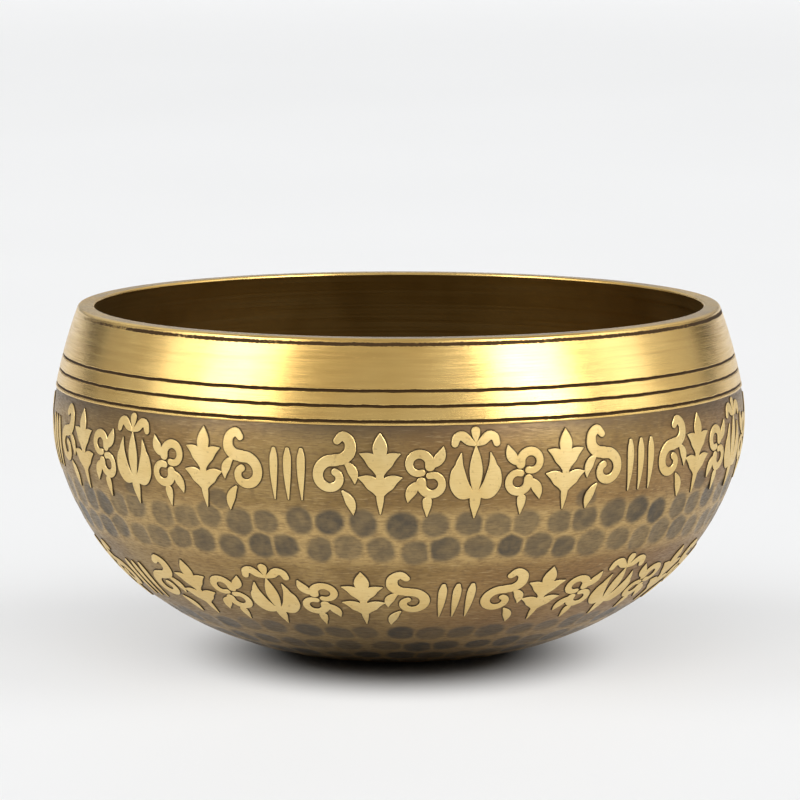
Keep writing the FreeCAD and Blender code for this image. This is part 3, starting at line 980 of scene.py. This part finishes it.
def over_rim(radius, height):
    """Radius and height of each ring from the top of the band, given, over the rim's outer
    rounding, its flat top and its inner rounding, to where the inside starts."""
    rounding = np.linspace(0, 1, 8)[1:]
    outer_top = RIM[0] - RIM_TOP_INSET
    bulge_size = 0.12
    bulge = bulge_size * np.sin(math.pi * rounding)
    outer = np.column_stack([
        radius + (outer_top - radius) * rounding + bulge,
        height + (HEIGHT - height) * np.sin(rounding * QUARTER_TURN),
    ])
    inner_top = MOUTH_RADIUS + RIM_INNER_ROUND
    flat = steps(outer_top, inner_top, spacing=0.3)[1:]
    top = np.column_stack([flat, np.full(flat.size, HEIGHT)])
    inside_radius, inside_height, _ = INSIDE.at(np.array([RIM_INNER_ROUND]))
    turn = np.linspace(0, QUARTER_TURN, 7)[1:]
    inner = np.column_stack([
        inner_top + (inside_radius - inner_top) * np.sin(turn),
        HEIGHT + (inside_height - HEIGHT) * (1 - np.cos(turn)),
    ])
    return np.vstack([outer, top, inner])


def make_rim_band(material):
    """The polished band with its dark lines, the step under it, and the rounded rim."""
    angle = column_angles(COLUMNS)
    distance = band_profile()
    radius, height, lean = BAND.at(distance)
    depth, dark = turned_lines(distance, angle)
    dark = np.maximum(dark, rim_stain(distance, angle))
    rim = over_rim(radius[-1], height[-1])
    foot_up = np.vstack([
        surface_points(*GROUND_START, angle)[None],
        pushed_points(radius, height, lean, -depth, angle),
        surface_points(rim[:, :1], rim[:, 1:], angle),
    ])
    all_dark = np.vstack([np.ones(COLUMNS), dark, np.zeros((len(rim), COLUMNS))])
    mesh = turned_mesh("rim_band", foot_up[::-1], {"line": all_dark[::-1]})
    new_piece("rim_band", mesh, [material], replaces=("bowl",))


def ground_piece(name, first, last, spacing, marks, motifs, material):
    """Ring of the etched ground between two distances along it, with one spare row each side."""
    sway_size = 0.018
    smoke_reach = 3.2
    angle = column_angles(COLUMNS)
    along = np.concatenate([[first - spacing], steps(first, last, spacing), [last + spacing]])
    radius, height, lean = GROUND.at(np.clip(along, 0, GROUND.length))
    depth, smoke = hammered(angle, along, radius, marks)
    sway = sway_size * smooth_noise(angle[None, :], along[:, None], most_waves=26, seed=SEED + 5)
    points = pushed_points(radius, height, lean, sway - depth, angle)
    values = {
        "mark": smoke,
        "belt": belt_share(height)[:, None],
        "near": ornament_shade(angle, along, motifs),
        "under_band": np.clip(1 - (BAND_FOOT[1] - height) / smoke_reach, 0, 1)[:, None],
    }
    mesh = turned_mesh(name, points, values, spare=1)
    new_piece(name, mesh, [material], replaces=("bowl",))


def belt_share(height):
    """1 in the hammered belt, less towards the foot as painted shade, 0 behind the ornament, fading
    between.
    """
    belt_middle = 27.6
    belt_half_height = 4.6
    belt_fade = 2.2
    bottom_top = 11.5
    bottom_fade = 3.0
    shaded_bottom_share = 0.4
    belt = np.clip((belt_half_height - np.abs(height - belt_middle)) / belt_fade + 0.5, 0, 1)
    # The ridge gold is the worn brass of the ridges; cutting it back in the bottom rows is painted
    # shade on the bowl's foot.
    bottom = shaded_bottom_share * np.clip((bottom_top - height) / bottom_fade, 0, 1)
    return np.maximum(belt, bottom)


def make_ground(material, marks, motifs):
    """The wall below the band, as four rings, each with the spacing of its rows."""
    belt_top, belt_foot, field_foot = map(GROUND.distance_at, (BELT_TOP, BELT_FOOT, FIELD_FOOT))
    rings = [
        ("upper_field", 0.0, belt_top, 0.36),
        ("hammered_belt", belt_top, belt_foot, 0.3),
        ("lower_field", belt_foot, field_foot, 0.36),
        ("hammered_bottom", field_foot, GROUND.length, 0.42),
    ]
    for name, first, last, spacing in rings:
        ground_piece(name, first, last, spacing, marks, motifs, material)


def make_foot(material):
    """The small flat that the bowl stands on, very slightly dished."""
    dish_depth = 0.12
    tip_radius = 0.4
    angle = column_angles(360)
    radius = steps(FOOT_RADIUS, tip_radius, spacing=0.5)
    dish = dish_depth * ((FOOT_RADIUS - radius) / FOOT_RADIUS) ** 0.7
    points = surface_points(radius[:, None], dish[:, None], angle)
    values = {"mark": 0.0, "belt": 1.0, "near": 0.0, "under_band": 0.0}
    tip = {"point": [0, 0, dish[-1] * MM], "normal": [0, 0, -1]}
    mesh = turned_mesh("foot", points, values, tip=tip)
    new_piece("foot", mesh, [material], replaces=("bowl",))


def make_inside(material):
    """Inside of the bowl, from the rim's inner rounding to the middle of the bottom."""
    sway_size = 0.03
    rim_fade = 6.0
    middle_fade = 8.0
    tip_gap = 0.4
    angle = column_angles(540)
    distance = steps(RIM_INNER_ROUND, INSIDE.length - tip_gap, spacing=0.6)
    radius, height, lean = INSIDE.at(distance)
    fade = np.clip(distance / rim_fade, 0, 1) * np.clip(radius / middle_fade, 0, 1)
    sway = sway_size * smooth_noise(angle[None, :], distance[:, None], most_waves=9, seed=SEED + 9)
    points = pushed_points(radius, height, lean, sway * fade[:, None], angle)
    bottom = INSIDE.at(np.array([INSIDE.length]))[1][0]
    tip = {"point": [0, 0, bottom * MM], "normal": [0, 0, 1]}
    mesh = turned_mesh("inside_wall", points, {}, tip=tip, faces_in=True)
    new_piece("inside_wall", mesh, [material], replaces=("bowl",))


# ---- studio and camera

def make_floor(material):
    """Floor that sweeps up into a backdrop behind the bowl."""
    half_width = 3.0
    front = -2.5
    bend_start = 2.4
    bend_radius = 0.3
    top = 0.35
    outline = [(front, 0.0), (bend_start, 0.0)]
    outline += [(bend_start + bend_radius * math.sin(turn), bend_radius * (1 - math.cos(turn)))
                for turn in np.linspace(0, QUARTER_TURN, 17)[1:]]
    outline.append((bend_start + bend_radius, top))
    vertices = []
    for y, z in outline:
        vertices += [(-half_width, y, z), (half_width, y, z)]
    faces = [(2 * i, 2 * i + 1, 2 * i + 3, 2 * i + 2) for i in range(len(outline) - 1)]
    mesh = bpy.data.meshes.new("floor")
    mesh.from_pydata(vertices, [], faces)
    mesh.shade_smooth()
    mesh.materials.append(material)
    floor = bpy.data.objects.new("floor", mesh)
    bpy.context.scene.collection.objects.link(floor)


def place_light(light, azimuth, elevation, distance, on_metal, on_floor):
    """Put a light at that azimuth (0 is the camera's side) and elevation from the bowl, facing
    it. on_metal lets it show in reflections and on_floor lets it light rough surfaces."""
    piece = bpy.data.objects.new(light.name, light)
    side = math.radians(azimuth)
    up = math.radians(elevation)
    away = Vector((math.sin(side) * math.cos(up), -math.cos(side) * math.cos(up), math.sin(up)))
    piece.location = Vector((0, 0, HEIGHT * MM / 2)) + away * distance
    piece.rotation_euler = (-away).to_track_quat("-Z", "Y").to_euler()
    piece.visible_glossy = on_metal
    piece.visible_diffuse = on_floor
    bpy.context.scene.collection.objects.link(piece)


def soft_box(name, azimuth, elevation, distance, width, height, radiance):
    """Rectangular light that the metal reflects and that leaves the floor unlit."""
    light = bpy.data.lights.new(name, "AREA")
    light.shape = "RECTANGLE"
    light.size = width
    light.size_y = height
    light.energy = radiance * math.pi * width * height
    place_light(light, azimuth, elevation, distance, on_metal=True, on_floor=False)


def daylight(name, azimuth, elevation, spread, strength):
    """Even light from a patch of sky that many degrees across. Reflections don't show it."""
    light = bpy.data.lights.new(name, "SUN")
    light.angle = math.radians(spread)
    light.energy = strength
    place_light(light, azimuth, elevation, 2.0, on_metal=False, on_floor=True)


def make_studio():
    """Dim surroundings, soft boxes for the metal and daylight for the floor."""
    world = bpy.data.worlds.new("studio")
    world.use_nodes = True
    background = world.node_tree.nodes["Background"]
    background.inputs["Color"].default_value = (0.95, 0.97, 1.0, 1.0)
    background.inputs["Strength"].default_value = 0.03
    bpy.context.scene.world = world
    # Name, azimuth, elevation, distance, width, height and radiance.
    soft_boxes = [
        ("overhead", 0, 86, 1.5, 1.6, 1.2, 0.6),
        ("front_fill", 0, 34, 1.4, 3.0, 1.5, 0.5),
        ("back_fill", 180, 40, 1.4, 3.0, 1.5, 0.6),
        ("left_fill", -90, 30, 1.4, 2.0, 1.5, 0.46),
        ("right_fill", 90, 30, 1.4, 2.0, 1.5, 0.6),
        ("right_box", 47, 27, 1.2, 0.5, 0.75, 6.0),
        ("left_box", -56, 27, 1.2, 0.55, 0.8, 3.7),
        ("far_right_box", 82, 25, 1.2, 0.45, 0.8, 1.15),
        ("far_left_box", -81, 25, 1.2, 0.28, 0.8, 1.4),
    ]
    for settings in soft_boxes:
        soft_box(*settings)
    # Name, azimuth, elevation, spread and strength.
    daylight("front_daylight", 0, 50, 56, 2.2)
    daylight("left_daylight", -80, 40, 44, 1.35)
    daylight("right_daylight", 80, 40, 44, 1.35)


def make_camera():
    """Long lens in front of the bowl, looking slightly down on it."""
    distance = 0.960
    above_rim = 0.1018
    tilt_down = 7.05
    to_the_right = 0.0002
    camera = bpy.data.cameras.new("camera")
    camera.sensor_width = 36.0
    camera.lens = 250.95
    camera.clip_end = 20.0
    piece = bpy.data.objects.new("camera", camera)
    piece.location = (to_the_right, -distance, HEIGHT * MM + above_rim)
    piece.rotation_euler = (math.radians(90 - tilt_down), 0, 0)
    bpy.context.scene.collection.objects.link(piece)
    bpy.context.scene.camera = piece


# ---- build

bpy.context.scene.view_settings.view_transform = "Standard"
make_camera()
make_studio()
make_floor(floor_material())

band_brass = polished_band_material()
patina = ground_material()
ornament_brass = ornament_material()
ornament_side = ornament_side_material()

motif_shapes = [flat_motif(strokes) for strokes in unit_motifs()]
make_rim_band(band_brass)
make_ground(patina, hammer_marks(), motif_shapes)
make_foot(patina)
make_inside(inside_material())
ornaments = {"upper_ornament": UPPER_ORNAMENT, "lower_ornament": LOWER_ORNAMENT}
for ornament_name, ornament_band in ornaments.items():
    ornament = ornament_mesh(ornament_name, ornament_band, motif_shapes)
    new_piece(f"{ornament_name}_relief", ornament, [ornament_brass, ornament_side],
              replaces=(f"{ornament_name}_band",))
